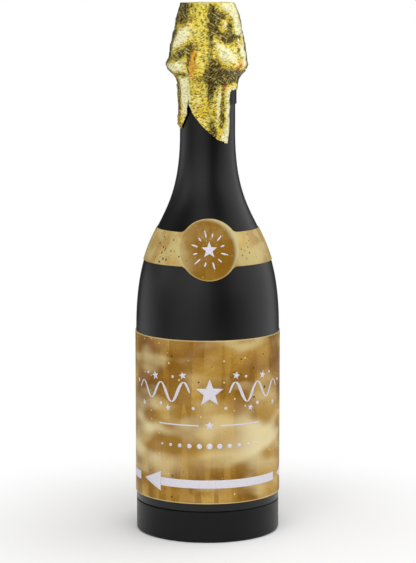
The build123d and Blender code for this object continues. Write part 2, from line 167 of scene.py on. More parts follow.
def uneven_gloss(tree, shader, value, roughness):
    """Roughness between two levels, by a value from 0 to 1."""
    inputs = {"Value": value, "To Min": roughness[0], "To Max": roughness[1]}
    plug(tree, shader.inputs["Roughness"], add(tree, "MapRange", inputs).outputs["Result"])


# A finish drifts in tone over this many times the size of its grain
drift_width = 30


def grained(name, dark, light, size, roughness, metallic=0.0, stretch=(1, 1, 1), depth=0.02 * mm):
    """A moulded, drawn, woven or fibrous finish: two tones, uneven gloss and a fine relief."""
    made, tree, shader = new_material(name, light, roughness[1], metallic)
    place = add(tree, "TexCoord").outputs["Object"]
    grain = clouds(tree, place, size, 3.0, stretch)
    drift = clouds(tree, place, drift_width * size)
    tone = calculate(tree, "MULTIPLY_ADD", drift, 0.5, calculate(tree, "MULTIPLY", grain, 0.5))
    plug(tree, shader.inputs["Base Color"], ramp(tree, tone, [(0.3, dark), (0.7, light)]))
    uneven_gloss(tree, shader, tone, roughness)
    bump(tree, shader, grain, depth)
    return made


# Gold paper of the labels

dark_gold = srgb(120, 78, 6)
deep_gold = srgb(140, 98, 24)
warm_gold = srgb(162, 120, 43)
light_gold = srgb(188, 152, 77)
pale_gold = srgb(222, 204, 146)
glow_gold = srgb(230, 216, 168)
rose_gold = srgb(146, 104, 66)
bubble_brown = srgb(84, 58, 14)
band_yellow = srgb(202, 176, 112)
patch_yellow = srgb(196, 184, 126)
disc_brown = srgb(131, 92, 12)
crescent_cream = srgb(200, 194, 150)
gold_tones = [(0.36, dark_gold), (0.45, deep_gold), (0.54, warm_gold), (0.66, light_gold)]

# Coated paper and white ink: gloss, roughness, size and depth of the fibres and of the ink's grain
paper_gloss, paper_roughness = 0.14, (0.42, 0.56)
fibre_size, fibre_depth = 0.5 * mm, 0.01 * mm
ink_size, ink_depth = 0.7 * mm, 0.008 * mm
thin_ink, full_ink = srgb(201, 196, 197), srgb(213, 210, 219)

# Clouds in the gold, stretched along the arc and up
patch_clouds = dict(size=18 * mm, detail=1.5, stretch=(1.6, 0.9, 1), seed=1.7)
grain_clouds = dict(size=1.3 * mm, detail=3.0, seed=3.1)
streak_clouds = dict(size=8 * mm, detail=0.5, stretch=(1, 14, 1), seed=5.7)
rose_clouds = dict(size=15 * mm, seed=8.3)
haze_clouds = dict(size=15 * mm, detail=1.5, stretch=(1.7, 0.8, 1), seed=6.2)
pool_clouds = dict(size=16 * mm, detail=1.0, stretch=(1.6, 0.9, 1), seed=15.4)
band_clouds = dict(size=9 * mm, detail=1.0, seed=6.4)
disc_clouds = dict(size=3 * mm, detail=3.0, seed=4.4)
grain_share = 0.2

# Shades laid over the gold: clouds, the levels where they start and where they are full, strength, colour
gold_shades = [
    (streak_clouds, 0.54, 0.565, 0.55, dark_gold),
    (streak_clouds, 0.45, 0.41, 0.35, light_gold),
    (rose_clouds, 0.54, 0.66, 0.5, rose_gold),
    (haze_clouds, 0.48, 0.74, 0.6, pale_gold),
]

# Bubbles and specks in the gold
dark_bubbles = dict(spacing=8 * mm, radius=0.75 * mm, share=0.35)
pale_bubbles = dict(spacing=6.3 * mm, radius=0.55 * mm, share=0.3)
band_specks = dict(spacing=3.1 * mm, radius=0.55 * mm, share=0.45)
cluster_specks = dict(spacing=2.6 * mm, radius=0.65 * mm, share=0.6)
disc_flecks = dict(spacing=2.4 * mm, radius=0.35 * mm, share=0.35)

# Pale zone of the body label: its height, how far up and down it reaches and is full, and its strength
glow_height = 58 * mm
glow_reach, glow_core, glow_strength = 25 * mm, 6 * mm, 0.3
# Pools of painted highlight in that zone, stronger towards the left and right sides: levels and strength,
# and how they grow to both sides from a share in the middle
pool_from, pool_to, pool_strength = 0.36, 0.62, 0.85
side_from, side_to, middle_share = 8 * mm, 28 * mm, 0.4
# Paler line along its cut edges: how far inside it starts and is full, and its strength
cut_from, cut_to, cut_strength = 0.7 * mm, 0.4 * mm, 0.5

# Band of the shoulder label: share of its yellow, and levels and strength of its pale patches
band_share = 0.5
patch_from, patch_to, patch_strength = 0.45, 0.6, 0.6
# Specks that lie close together left of the medallion: their middle, reach and core
speck_arc = -34 * mm
speck_reach, speck_core = 12 * mm, 7 * mm

# Medallion: gain and least share of its mottled brown, and strength of its flecks
mottle_gain, mottle_least = 0.6, 0.54
fleck_strength = 0.5
# Its crescent: middle of the round shade that leaves it pale, limits from the shade's edge, and strength
crescent_centre = (-2.8 * mm, -1.4 * mm, 0)
crescent_from, crescent_to, crescent_strength = -0.4 * mm, 2.4 * mm, 0.8
# Its rim: how far inside a pale line starts and is full, the line's strength, and the width of the edge
rim_from, rim_to, rim_strength = 0.8 * mm, 0.5 * mm, 0.15
disc_edge = 0.5 * mm
# Its left side blends into the band: limits as shares of its radius, and its share there
blend_from, blend_to, blend_share = -1.05, -0.35, 0.3


def unrolled(tree, radius):
    """Object position unrolled to arc length and height, and the sockets of x, y and z."""
    place = add(tree, "TexCoord").outputs["Object"]
    split = add(tree, "SeparateXYZ", {0: place}).outputs
    arc = calculate(tree, "MULTIPLY", angle_round(tree, split), radius)
    flat = add(tree, "CombineXYZ", {"X": arc, "Y": split["Z"]}).outputs[0]
    return flat, split


def bubbles(tree, flat, spacing, radius, share):
    """Mask of small round bubbles in a share of the cells of an uneven grid."""
    cells = add(tree, "TexVoronoi", {"Vector": flat, "Scale": 1 / spacing}, voronoi_dimensions="2D")
    chance = add(tree, "SeparateColor", {0: cells.outputs["Color"]}).outputs["Red"]
    size = calculate(tree, "MULTIPLY", chance, radius / spacing / share)
    inside = calculate(tree, "LESS_THAN", cells.outputs["Distance"], size)
    return calculate(tree, "MULTIPLY", inside, calculate(tree, "LESS_THAN", chance, share))


def champagne(tree, flat):
    """Gold like a bubbly drink: wide clouds, upright streaks, a rosy shade, a pale haze and bubbles."""
    grain = calculate(tree, "MULTIPLY", clouds(tree, flat, **grain_clouds), grain_share)
    patches = clouds(tree, flat, **patch_clouds)
    tone = calculate(tree, "MULTIPLY_ADD", patches, 1 - grain_share, grain)
    colour = ramp(tree, tone, gold_tones)
    for cloud, start, end, strength, shade in gold_shades:
        mask = fade(tree, clouds(tree, flat, **cloud), start, end)
        colour = tint(tree, colour, mask, strength, shade)
    colour = mix(tree, bubbles(tree, flat, **dark_bubbles), colour, bubble_brown)
    return mix(tree, bubbles(tree, flat, **pale_bubbles), colour, pale_gold)


def rising(tree, mask, least):
    """Mask from 0 to 1 lifted so that it starts at the least share."""
    return calculate(tree, "MULTIPLY_ADD", mask, 1 - least, least)


def paper_finish(tree, shader, flat, colour):
    """Coated paper: colour, a little uneven gloss and a faint relief."""
    plug(tree, shader.inputs["Base Color"], colour)
    shader.inputs["Specular IOR Level"].default_value = paper_gloss
    fibres = clouds(tree, flat, fibre_size)
    uneven_gloss(tree, shader, fibres, paper_roughness)
    bump(tree, shader, fibres, fibre_depth)


def body_label_gold():
    """Gold of the wrap-around label: pools of painted highlight towards the sides, and paler cut edges."""
    made, tree, shader = new_material("body_label_gold", warm_gold, 0.5)
    flat, place = unrolled(tree, label_radius)
    glow = fade(tree, away(tree, place["Z"], glow_height), glow_reach, glow_core)
    colour = tint(tree, champagne(tree, flat), glow, glow_strength, light_gold)
    # Painted highlight: pale pools in the pale zone, stronger towards the left and right sides
    highlight_pools = fade(tree, clouds(tree, flat, **pool_clouds), pool_from, pool_to)
    sides = fade(tree, away(tree, place["X"], 0.0), side_from, side_to)
    highlight_pools = calculate(tree, "MULTIPLY", highlight_pools, rising(tree, sides, middle_share))
    colour = tint(tree, colour, calculate(tree, "MULTIPLY", highlight_pools, glow), pool_strength, glow_gold)
    middle = (label_low.z + label_high.z) / 2
    half = (label_high.z - label_low.z) / 2
    edge = fade(tree, away(tree, place["Z"], middle), half - cut_from, half - cut_to)
    paper_finish(tree, shader, flat, tint(tree, colour, edge, cut_strength, pale_gold))
    return made


def band_gold():
    """Gold of the shoulder label: a specked band, and a darker medallion with a pale crescent."""
    made, tree, shader = new_material("band_gold", warm_gold, 0.5)
    flat, place = unrolled(tree, label_radius)
    gold = champagne(tree, flat)
    patch = fade(tree, clouds(tree, flat, **band_clouds), patch_from, patch_to)
    band = tint(tree, mix(tree, band_share, gold, band_yellow), patch, patch_strength, patch_yellow)
    cluster = fade(tree, distance(tree, flat, (speck_arc, medallion_z, 0)), speck_reach, speck_core)
    for specks, where in ((band_specks, patch), (cluster_specks, cluster)):
        spots = calculate(tree, "MULTIPLY", bubbles(tree, flat, **specks), where)
        band = mix(tree, spots, band, bubble_brown)

    height = calculate(tree, "SUBTRACT", place["Z"], medallion_z)
    across = add(tree, "CombineXYZ", {"X": place["X"], "Y": height}).outputs[0]
    from_centre = distance(tree, across)
    mottle = clouds(tree, flat, **disc_clouds)
    mottle = calculate(tree, "MULTIPLY_ADD", mottle, mottle_gain, mottle_least)
    disc = mix(tree, mottle, gold, disc_brown)
    disc = tint(tree, disc, bubbles(tree, flat, **disc_flecks), fleck_strength, pale_gold)
    crescent = distance(tree, across, crescent_centre)
    crescent = fade(tree, crescent, medallion_radius + crescent_from, medallion_radius + crescent_to)
    disc = tint(tree, disc, crescent, crescent_strength, crescent_cream)
    rim = fade(tree, from_centre, medallion_radius - rim_from, medallion_radius - rim_to)
    disc = tint(tree, disc, rim, rim_strength, pale_gold)

    # Only the front has the medallion
    inside = fade(tree, from_centre, medallion_radius, medallion_radius - disc_edge)
    blended = fade(tree, place["X"], blend_from * medallion_radius, blend_to * medallion_radius)
    inside = calculate(tree, "MULTIPLY", inside, rising(tree, blended, blend_share))
    inside = calculate(tree, "MULTIPLY", inside, calculate(tree, "LESS_THAN", place["Y"], 0.0))
    paper_finish(tree, shader, flat, mix(tree, inside, band, disc))
    return made


def print_white():
    """White ink with a slight lilac cast, a little thin in places."""
    made, tree, shader = new_material("print_white", full_ink, 0.5)
    place = add(tree, "TexCoord").outputs["Object"]
    cover = clouds(tree, place, ink_size, 3.0)
    plug(tree, shader.inputs["Base Color"], ramp(tree, cover, [(0.3, thin_ink), (0.5, full_ink)]))
    bump(tree, shader, cover, ink_depth)
    return made


# Plastic, foil and inner finishes

# Shades of the foil and their strength, in the order of the values that the mesh carries: a painted
# highlight on the crests, golden and deep orange on the ridges, and painted shade in the folds
foil_shades = [
    ("crest_highlight", 1.0, srgb(255, 252, 200)),
    ("warm", 0.9, srgb(242, 168, 52)),
    ("ember", 0.9, srgb(232, 108, 22)),
    ("fold_shade", 0.92, srgb(42, 29, 7)),
]
foil_plain = srgb(236, 204, 88)
foil_yellows = [(0.35, srgb(255, 221, 68)), (0.65, srgb(255, 236, 96))]
facet_yellow = srgb(255, 244, 130)
glint_yellow = srgb(255, 246, 140)
crease_shade_brown = srgb(124, 90, 8)
fold_highlight_cream = srgb(222, 204, 134)
foil_specular, foil_roughness = 0.1, (0.18, 0.34)
foil_metallic, crest_metallic = 0.55, 0.1
foil_drift, foil_grain = 8 * mm, 0.7 * mm

# Facets of the foil: their size, how far each one leans, and which of them are paler
facet_size, facet_lean = 0.9 * mm, 0.25
facet_from, facet_to, facet_strength = 0.5, 0.9, 0.4
# Facets also roughen the edges of the painted highlight on crests and of the painted shade in folds
speckle_gain, speckle_least = 0.6, -0.3

# Creases in the foil: dark ones all over, which give relief and carry painted shade, and pale ones that are
# painted highlight lines in the folds: slant in degrees, seed, width and length
dark_creases = [(74, 2.0, 0.75 * mm, 2.6 * mm), (-66, 7.0, 0.75 * mm, 2.4 * mm)]
pale_creases = [(65, 4.0, 0.6 * mm, 8.0 * mm), (-48, 9.0, 0.5 * mm, 3.0 * mm)]
# Their depth, its share on the crests, and the radius at which they are laid round the cap
crease_depth, crest_relief = 0.8 * mm, 0.35
crease_radius = 20 * mm
# Radius of the cap's flat top
top_radius = 14.5 * mm
# Levels and strength of the painted shade along the dark creases, also on the crests, of the painted glints
# between them, and of the painted highlight lines in the folds
crease_shade_from, crease_shade_to, crease_shade_strength, crest_crease_shade_strength = 0.58, 0.66, 0.72, 0.38
glint_from, glint_to, glint_strength = 0.52, 0.45, 0.3
fold_highlight_from, fold_highlight_to, fold_highlight_strength = 0.6, 0.68, 0.8

# Black plastic: dark and light tone, and size and depth of its texture
plastic_tones = (srgb(8, 8, 9), srgb(13, 13, 14))
plastic_grain, plastic_depth = 0.35 * mm, 0.003 * mm


def black_plastic(name, gloss, roughness):
    """Satin black plastic with a fine moulded texture."""
    made = grained(name, *plastic_tones, plastic_grain, roughness, depth=plastic_depth)
    made.node_tree.nodes["Principled BSDF"].inputs["Specular IOR Level"].default_value = gloss
    return made


def foil_sheet(tree, place):
    """Object position laid flat: arc length round the cap, and height that goes on across its top."""
    split = add(tree, "SeparateXYZ", {0: place}).outputs
    across = add(tree, "CombineXYZ", {"X": split["X"], "Y": split["Y"]}).outputs[0]
    inner = calculate(tree, "MINIMUM", distance(tree, across), top_radius)
    arc = calculate(tree, "MULTIPLY", angle_round(tree, split), crease_radius)
    down = calculate(tree, "SUBTRACT", split["Z"], inner)
    return add(tree, "CombineXYZ", {"X": arc, "Y": down}).outputs[0]


def creases(tree, flat, slants):
    """Height from 0 to 1 of short straight creases along the slants."""
    found = 0.0
    for slant, seed, width, length in slants:
        placing = {"Vector": flat, "Rotation": (0, 0, math.radians(slant)), "Location": (seed, seed, 0),
                   "Scale": (width, length, 1)}
        place = add(tree, "Mapping", placing, vector_type="TEXTURE").outputs[0]
        strokes = add(tree, "TexNoise", {"Vector": place, "Scale": 1.0, "Detail": 0.5}).outputs[0]
        found = calculate(tree, "MAXIMUM", found, strokes)
    return found


def leaning(tree, normal, colour, amount):
    """Normal that leans its own way on each facet."""
    lean = add(tree, "VectorMath", {0: colour, 1: (0.5, 0.5, 0.5)}, operation="SUBTRACT").outputs[0]
    lean = add(tree, "VectorMath", {0: lean, "Scale": amount}, operation="SCALE").outputs[0]
    tilted = add(tree, "VectorMath", {0: normal, 1: lean}, operation="ADD").outputs[0]
    return add(tree, "VectorMath", {0: tilted}, operation="NORMALIZE").outputs[0]


def foil_gold():
    """Crinkled gold foil: tilted facets, creases with painted shade and painted glints, painted brown shade
    in the folds with painted highlight lines, painted cream highlights on the crests, and orange ridges.
    """
    made, tree, shader = new_material("foil_gold", foil_plain, 0.3, foil_metallic)
    shader.inputs["Specular IOR Level"].default_value = foil_specular
    place = add(tree, "TexCoord").outputs["Object"]
    flat = foil_sheet(tree, place)
    facet = add(tree, "TexVoronoi", {"Vector": place, "Scale": 1 / facet_size}).outputs["Color"]
    chance = add(tree, "SeparateColor", {0: facet}).outputs["Red"]
    colour = ramp(tree, clouds(tree, place, foil_drift), foil_yellows)
    colour = tint(tree, colour, fade(tree, chance, facet_from, facet_to), facet_strength, facet_yellow)
    wrinkles = creases(tree, flat, dark_creases)
    # Painted shade along the creases, and painted glints between them
    crease_shade = fade(tree, wrinkles, crease_shade_from, crease_shade_to)
    colour = tint(tree, colour, crease_shade, crease_shade_strength, crease_shade_brown)
    colour = tint(tree, colour, fade(tree, wrinkles, glint_from, glint_to), glint_strength, glint_yellow)

    speckle = calculate(tree, "MULTIPLY_ADD", chance, speckle_gain, speckle_least)
    # Painted highlight on the crests, orange on the ridges, and painted shade in the folds, from the mesh's
    # values
    masks = {}
    for name, strength, shade in foil_shades:
        mask = add(tree, "Attribute", attribute_name=name).outputs["Fac"]
        if name in ("crest_highlight", "fold_shade"):
            mask = fade(tree, calculate(tree, "ADD", mask, speckle), 0.0, 1.0)
        masks[name] = mask
        colour = tint(tree, colour, mask, strength, shade)
        if name == "crest_highlight":
            colour = tint(tree, colour, crease_shade, crest_crease_shade_strength, crease_shade_brown)
    # Painted highlight lines in the folds' painted shade
    fold_highlights = fade(tree, creases(tree, flat, pale_creases), fold_highlight_from, fold_highlight_to)
    fold_highlights = calculate(tree, "MULTIPLY", fold_highlights, masks["fold_shade"])
    plug(tree, shader.inputs["Base Color"], tint(tree, colour, fold_highlights, fold_highlight_strength, fold_highlight_cream))

    crest_highlight = masks["crest_highlight"]
    metallic = calculate(tree, "MULTIPLY_ADD", crest_highlight, crest_metallic - foil_metallic, foil_metallic)
    plug(tree, shader.inputs["Metallic"], metallic)
    depth = calculate(tree, "MULTIPLY_ADD", crest_highlight, crest_relief - 1, 1.0)
    relief = add(tree, "Bump", {"Height": wrinkles, "Distance": crease_depth, "Strength": depth})
    plug(tree, shader.inputs["Normal"], leaning(tree, relief.outputs["Normal"], facet, facet_lean))
    uneven_gloss(tree, shader, clouds(tree, place, foil_grain, 3.0), foil_roughness)
    return made


def dress(finish, *names):
    """Give solids a finish."""
    for name in names:
        for material_slot in nodes[name].material_slots:
            material_slot.material = finish


# Grained finishes: dark and light tone, size of the grain, roughness, further settings, and the solids
grained_finishes = {
    "white_plastic": ((226, 226, 222), (240, 240, 237), 0.5 * mm, (0.32, 0.42), {},
                      ("breech_housing", "valve_body")),
    "seal_rubber": ((24, 24, 25), (36, 36, 37), 0.3 * mm, (0.6, 0.8), {"depth": 0.03 * mm},
                    ("breech_seal", "cylinder_gasket", "plug_o_ring")),
    "can_aluminium": ((196, 198, 202), (226, 228, 231), 0.25 * mm, (0.24, 0.4),
                      {"metallic": 1.0, "stretch": (1, 1, 0.1)}, ("air_cylinder", "crimp_ring")),
    "cork": ((150, 112, 70), (206, 168, 118), 0.9 * mm, (0.7, 0.85), {"depth": 0.12 * mm}, ("stopper",)),
    "card": ((150, 118, 82), (186, 152, 110), 0.5 * mm, (0.7, 0.85), {"stretch": (1, 1, 6)},
             ("barrel_tube",)),
    "plug_plastic": ((176, 26, 20), (198, 40, 32), 0.4 * mm, (0.2, 0.3), {}, ("valve_plug",)),
    "pin_steel": ((160, 161, 164), (198, 199, 203), 0.2 * mm, (0.25, 0.4),
                  {"metallic": 1.0, "stretch": (8, 1, 1)}, ("cross_pin",)),
    "felt": ((186, 182, 172), (222, 218, 208), 0.4 * mm, (0.85, 0.95), {"depth": 0.15 * mm}, ("wad",)),
    "confetti_gold": ((208, 160, 48), (240, 202, 96), 0.6 * mm, (0.25, 0.4), {"metallic": 0.8},
                      ("confetti_gold",)),
    "confetti_white": ((226, 224, 218), (244, 243, 240), 0.6 * mm, (0.5, 0.65), {}, ("confetti_white",)),
}
for finish_name, (dark, light, grain, roughness, settings, solids) in grained_finishes.items():
    dress(grained(finish_name, srgb(*dark), srgb(*light), grain, roughness, **settings), *solids)
gold_foil = foil_gold()
ink = print_white()
dress(black_plastic("bottle_black", 0.35, (0.28, 0.34)), "bottle_shell")
dress(black_plastic("base_black", 0.2, (0.34, 0.42)), "twist_base", "muzzle_collar")
dress(body_label_gold(), "body_label")
dress(band_gold(), "shoulder_label")
dress(gold_foil, "foil_cap")


# Foil cap: a crumpled sheet over the crown, torn off along the neck

foil_columns = 320
foil_thickness = 0.15 * mm
skirt_radius = collar_radius + 0.45 * mm
crown_radius = foil_high.x - 0.05 * mm
crown_top = foil_high.z
deepest_dent = 1.7 * mm

# Outline of the crown, from the top's edge to the skirt: radius, depth below the top, and rows down to it
crown_profile = [
    (14.9 * mm, 0.0, 8),
    (17.3 * mm, 6.8 * mm, 9),
    (20.2 * mm, 22.0 * mm, 18),
    (crown_radius, 34.0 * mm, 16),
    (21.7 * mm, 36.2 * mm, 4),
    (18.4 * mm, 39.6 * mm, 6),
    (17.3 * mm, 41.6 * mm, 4),
    (skirt_radius, 47.0 * mm, 7),
]
skirt_rows = 40

# Torn edge: place across the neck as a share of the skirt's radius, and drop below the muzzle's top
front_tear = [(-1.0, 25.5), (-0.93, 27.3), (-0.7, 18.5), (-0.67, 9.8), (-0.63, 13.8), (-0.43, 20.4),
              (-0.09, 27.0), (0.25, 32.1), (0.64, 35.2), (0.7, 12.0), (0.76, 6.0), (1.0, 5.6)]
back_tear = [(-1.0, 25.5), (-0.78, 22.0), (-0.5, 15.5), (-0.12, 31.0), (0.2, 17.0),
             (0.55, 24.0), (0.8, 9.0), (1.0, 5.6)]
# Ripples of that edge: height in millimetres, and how close together they are
tear_ripples = [(0.35, 38), (0.5, 13)]

# Dents and crests: angle seen from the camera, depth below the top in millimetres, spread in degrees round,
# spread down in millimetres, height in millimetres, and slant in degrees, down towards the right
lumps = [
    (-56, 6, 14, 6, -1.25, 0),
    (-41, 10, 9, 1.2, -0.5, -23),
    (-50, 18, 17, 4.0, 1.0, -52),
    (-50, 27.5, 15, 2.2, -1.5, -29),
    (-29, 31, 1.3, 6, -0.9, 0),
    (-60, 33.5, 18, 2.4, 0.7, 0),
    (-50, 38.6, 10, 0.9, -1.5, 0),
    (7, 5, 4.5, 5, -0.7, 0),
    (6.5, 15, 3.5, 7, -0.7, 0),
    (5, 28, 2.0, 6, -0.25, 0),
    (17, 11, 4.5, 5, -1.1, 0),
    (30, 6.8, 8, 1.8, -1.2, 0),
    (43, 13, 4, 4, -1.3, 0),
    (33, 18.6, 9, 2.5, -1.5, 15),
    (30, 12, 3.6, 2.2, 0.7, 0),
    (50, 4, 14, 3.8, 1.0, 0),
    (62, 12, 9, 5, 0.8, 0),
    (50, 18, 9, 0.8, -1.4, 0),
    (66, 21, 4, 2.2, -1.0, 0),
    (28, 26, 16, 2.4, 0.9, 49),
    (55, 28, 10, 0.5, -0.8, 73),
    (66, 27, 9, 7, 0.9, 0),
    (24, 39.8, 21, 3.0, -1.8, 0),
    (56, 40.5, 12, 3, -1.5, 0),
    (6.5, 48, 5, 4.5, -1.3, 0),
    (-49, 49, 11, 8, 0.9, 0),
    (-67, 49, 2, 8, -1.0, 0),
    (-76, 54, 3, 12, -0.9, 0),
    (57, 45, 10, 2.5, 0.8, 0),
    (21.5, 55, 20, 0.9, 1.0, 96),
    (30, 58.5, 3.8, 8, -1.2, 0),
    (42.5, 61, 4, 14, 0.8, 0),
    (9, 66.5, 4.5, 3.5, -1.0, 0),
    (13, 72, 3, 3, -0.8, 0),
    (32, 73, 5, 4, 0.8, 0),
]
# Ridges with a golden orange tint, and with a deep orange one
ridges = [
    (-21.5, 30, 2.8, 4.5, 0.9, 0),
    (-23, 38, 0.8, 4, 0.4, 0),
]
embers = [
    (51.5, 34.8, 6, 0.9, 0.5, -70),
    (37, 45.7, 7, 0.6, 0.4, -50),
    (-69, 58, 2.5, 2.5, 0.4, 0),
]
# Painted shade: places that look darker than their dents
shadows = [
    (-80, 8, 11, 9, 0.7, 0),
    (-88, 26, 11, 14, 0.9, 0),
    (88, 24, 10, 16, 0.9, 0),
    (-76, 19, 9, 6, 0.8, 0),
    (52, 18.2, 9, 0.9, 1.1, 0),
    (60, 21, 1.5, 2.6, 0.9, 25),
    (50, 27, 1.3, 4, 0.7, 0),
    (4.5, 35, 3, 4, 0.5, 0),
    (13, 35.5, 7, 2.5, 0.45, 20),
    (7, 7, 5, 5, 0.5, 0),
    (6, 17, 3, 6, 0.4, 0),
    (5, 28, 1.6, 6, 0.2, 0),
    (14, 30.5, 4, 2.5, 0.25, 0),
    (-17.6, 29, 0.9, 4.5, 1.0, 0),
    (-30, 31, 0.9, 5, 0.5, 0),
    (11, 68, 8, 5, 0.4, 30),
    (24, 40, 20, 3, 0.5, 0),
]
# How much lower the same places lie at the back, in millimetres, and how many spreads away a lump ends
back_drop = 1.2
lump_reach = 3

# Crumple of the sheet: size and tilt of its facets, how these are scattered, its finest ripple, and how far
# the crown is drawn in
crumple_facets = [(9 * mm, 0.1), (3.6 * mm, 0.1)]
facet_scatter = 7.3
ripple_size, ripple_height = 1.2 * mm, 0.05 * mm
crown_shrink = 0.15 * mm
# The places above wander a little: size of a wander, degrees round, and height
wander_size, wander_turn, wander_drop = 3.5 * mm, 3, 0.8 * mm
# Heights at which each shade is full, and the crumple's share in the crests, in the folds and on the top
full_crest, full_warm, full_ember, full_fold = 0.6 * mm, 0.5 * mm, 0.35 * mm, 0.9 * mm
crest_crumple, fold_crumple, top_crumple = 0.2, 0.4, 0.5
# Least gap between the foil and the collar, kept up to a little above the collar's top
collar_gap, collar_margin = 0.3 * mm, 1 * mm

# Left of the front the foil hangs straight down from the crown: first and last angle, width of its edges,
# and its radius at two depths below the top
drape_from, drape_to, drape_edge = -32, 3, 5
drape_line = [(35.0, 22.2 * mm), (62.0, skirt_radius + 0.2 * mm)]


def clamp(value):
    """Value held between 0 and 1."""
    return max(0.0, min(1.0, value))


def interpolate(points, place):
    """Height of a line through (place, height) points."""
    for (left, start), (right, end) in zip(points, points[1:]):
        if place <= right:
            share = (place - left) / (right - left)
            return start + (end - start) * clamp(share)
    return points[-1][1]


def torn_edge(angle):
    """Height of the foil's torn edge at an angle, a little ragged."""
    tear = front_tear if math.cos(angle) > 0 else back_tear
    drop = interpolate(tear, math.sin(angle))
    spot = Vector((math.sin(angle), math.cos(angle), 0))
    ragged = sum(height * noise.noise(spot * rate) for height, rate in tear_ripples)
    return collar_high.z - (drop + ragged) * mm


def with_back(front):
    """Places on the front, and the same mirrored to the back a little lower."""
    back = []
    for angle, depth, *spreads, slant in front:
        back.append((180 - angle, depth + back_drop, *spreads, -slant))
    return front + back


all_lumps = with_back(lumps)
all_shadows = with_back(shadows)


def lump_height(placed, angle, z):
    """Height of the placed lumps at an angle in degrees and a height."""
    depth = (crown_top - z) / mm
    arc = math.radians(crease_radius) / mm
    height = 0.0
    for lump_angle, lump_depth, spread, tall, size, slant in placed:
        across = arc * ((angle - lump_angle + 180) % 360 - 180)
        down = depth - lump_depth
        if max(abs(across), abs(down)) < lump_reach * max(arc * spread, tall):
            cos, sin = math.cos(math.radians(slant)), math.sin(math.radians(slant))
            along = (across * cos + down * sin) / (arc * spread)
            aside = (down * cos - across * sin) / tall
            height += size * math.exp(-(along ** 2 + aside ** 2) / 2)
    return height * mm


def facets(point, size, tilt):
    """Crumple of flat facets about size across, each tilted its own way."""
    near = point / size
    centre = noise.voronoi(near)[1][0]
    slope = noise.cell_vector(centre * facet_scatter)
    return (near - centre).dot(slope) * tilt * size


def foil_rows(angle):
    """Radius and height of the smooth foil down one column, from the top's middle to the torn edge."""
    rows = []
    radius, below = 0.0, 0.0
    for next_radius, next_below, count in crown_profile:
        for row in range(1, count + 1):
            share = row / count
            z = crown_top - below - (next_below - below) * share
            rows.append((radius + (next_radius - radius) * share, z))
        radius, below = next_radius, next_below
    start = crown_top - below
    end = torn_edge(angle)
    for row in range(1, skirt_rows + 1):
        rows.append((radius, start + (end - start) * row / skirt_rows))
    return rows


def drape_share(turn):
    """How far the foil hangs straight at an angle, from 0 to 1."""
    inside = min(turn - drape_from, drape_to - turn)
    return clamp(0.5 + inside / drape_edge)


def crumpled(radius, z, angle):
    """Point of the crumpled foil, and its shades in the order of the foil's shades."""
    outward = Vector((math.sin(angle), -math.cos(angle), 0))
    smooth = outward * radius + Vector((0, 0, z))
    wander = noise.noise(smooth / wander_size)
    turn = (math.degrees(angle + camera_turn) + wander_turn * wander + 180) % 360 - 180
    top_fade = clamp(radius / top_radius) ** 3
    lump = top_fade * lump_height(all_lumps, turn, z + wander_drop * wander)
    ridge = lump_height(ridges, turn, z)
    ember = lump_height(embers, turn, z)
    shadow = top_fade * lump_height(all_shadows, turn, z)
    depth = (crown_top - z) / mm
    if depth > drape_line[0][0]:
        radius += drape_share(turn) * max(0.0, interpolate(drape_line, depth) - radius)
    crumple = sum(facets(smooth, size, tilt) for size, tilt in crumple_facets)
    ripple = ripple_height * noise.noise(smooth / ripple_size)
    # Painted highlight on the crests, orange on the ridges, and painted shade in the folds and at the
    # shadows' places
    shades = (
        clamp((lump + crest_crumple * crumple) / full_crest),
        clamp(ridge / full_warm),
        clamp(ember / full_ember),
        clamp((shadow - lump - fold_crumple * crumple) / full_fold),
    )
    if radius < top_radius:
        return smooth + Vector((0, 0, top_crumple * (crumple + ripple))), shades
    height = max(-deepest_dent, lump + ridge + ember + crumple + ripple - crown_shrink)
    least = collar_radius + collar_gap if z < collar_high.z + collar_margin else 0.0
    return outward * max(radius + height, least) + Vector((0, 0, z)), shades


def build_foil():
    """Mesh of the foil: a grid of columns round the axis, closed at the top's middle."""
    verts, shades = [], []
    for column in range(foil_columns):
        angle = column / foil_columns * math.tau
        for radius, z in foil_rows(angle):
            point, shade = crumpled(radius, z, angle)
            verts.append(point)
            shades.append(shade)
    rows = len(verts) // foil_columns
    point, shade = crumpled(0.0, crown_top, 0.0)
    verts.append(point)
    shades.append(shade)
    faces = []
    for column in range(foil_columns):
        here = column * rows
        there = (column + 1) % foil_columns * rows
        faces.append((len(verts) - 1, here, there))
        for row in range(rows - 1):
            faces.append((here + row, here + row + 1, there + row + 1, there + row))
    mesh = bpy.data.meshes.new("crumpled_foil")
    mesh.from_pydata(verts, [], faces)
    mesh.shade_smooth()
    for (name, _, _), values in zip(foil_shades, zip(*shades)):
        mesh.attributes.new(name, "FLOAT", "POINT").data.foreach_set("value", values)
    mesh.materials.append(gold_foil)
    made = bpy.data.objects.new("crumpled_foil", mesh)
    bpy.context.scene.collection.objects.link(made)
    sheet = made.modifiers.new("sheet", "SOLIDIFY")
    sheet.thickness = foil_thickness
    sheet.offset = -1
    return made


foil = build_foil()
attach(foil, "cap")
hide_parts("foil_cap")


# Print on the labels: arrows, stars, streamers and dots, laid on the paper

print_lift = 0.03 * mm
print_thickness = 0.05 * mm
longest_edge = 1.2 * mm
weld_distance = 0.001 * mm
most_cuts = 7
# Stars and dots: points and waist of a star, and sides of a dot
star_points, star_waist = 5, 0.42
dot_sides = 16


def star(x, y, radius, turn=0.0):
    """Star as triangles round its middle."""
    count = 2 * star_points
    tips = []
    for step in range(count):
        reach = radius if step % 2 == 0 else star_waist * radius
        angle = math.radians(turn + 360 / count * step)
        tips.append((x + reach * math.sin(angle), y + reach * math.cos(angle)))
    return [((x, y), tips[step], tips[(step + 1) % count]) for step in range(count)]


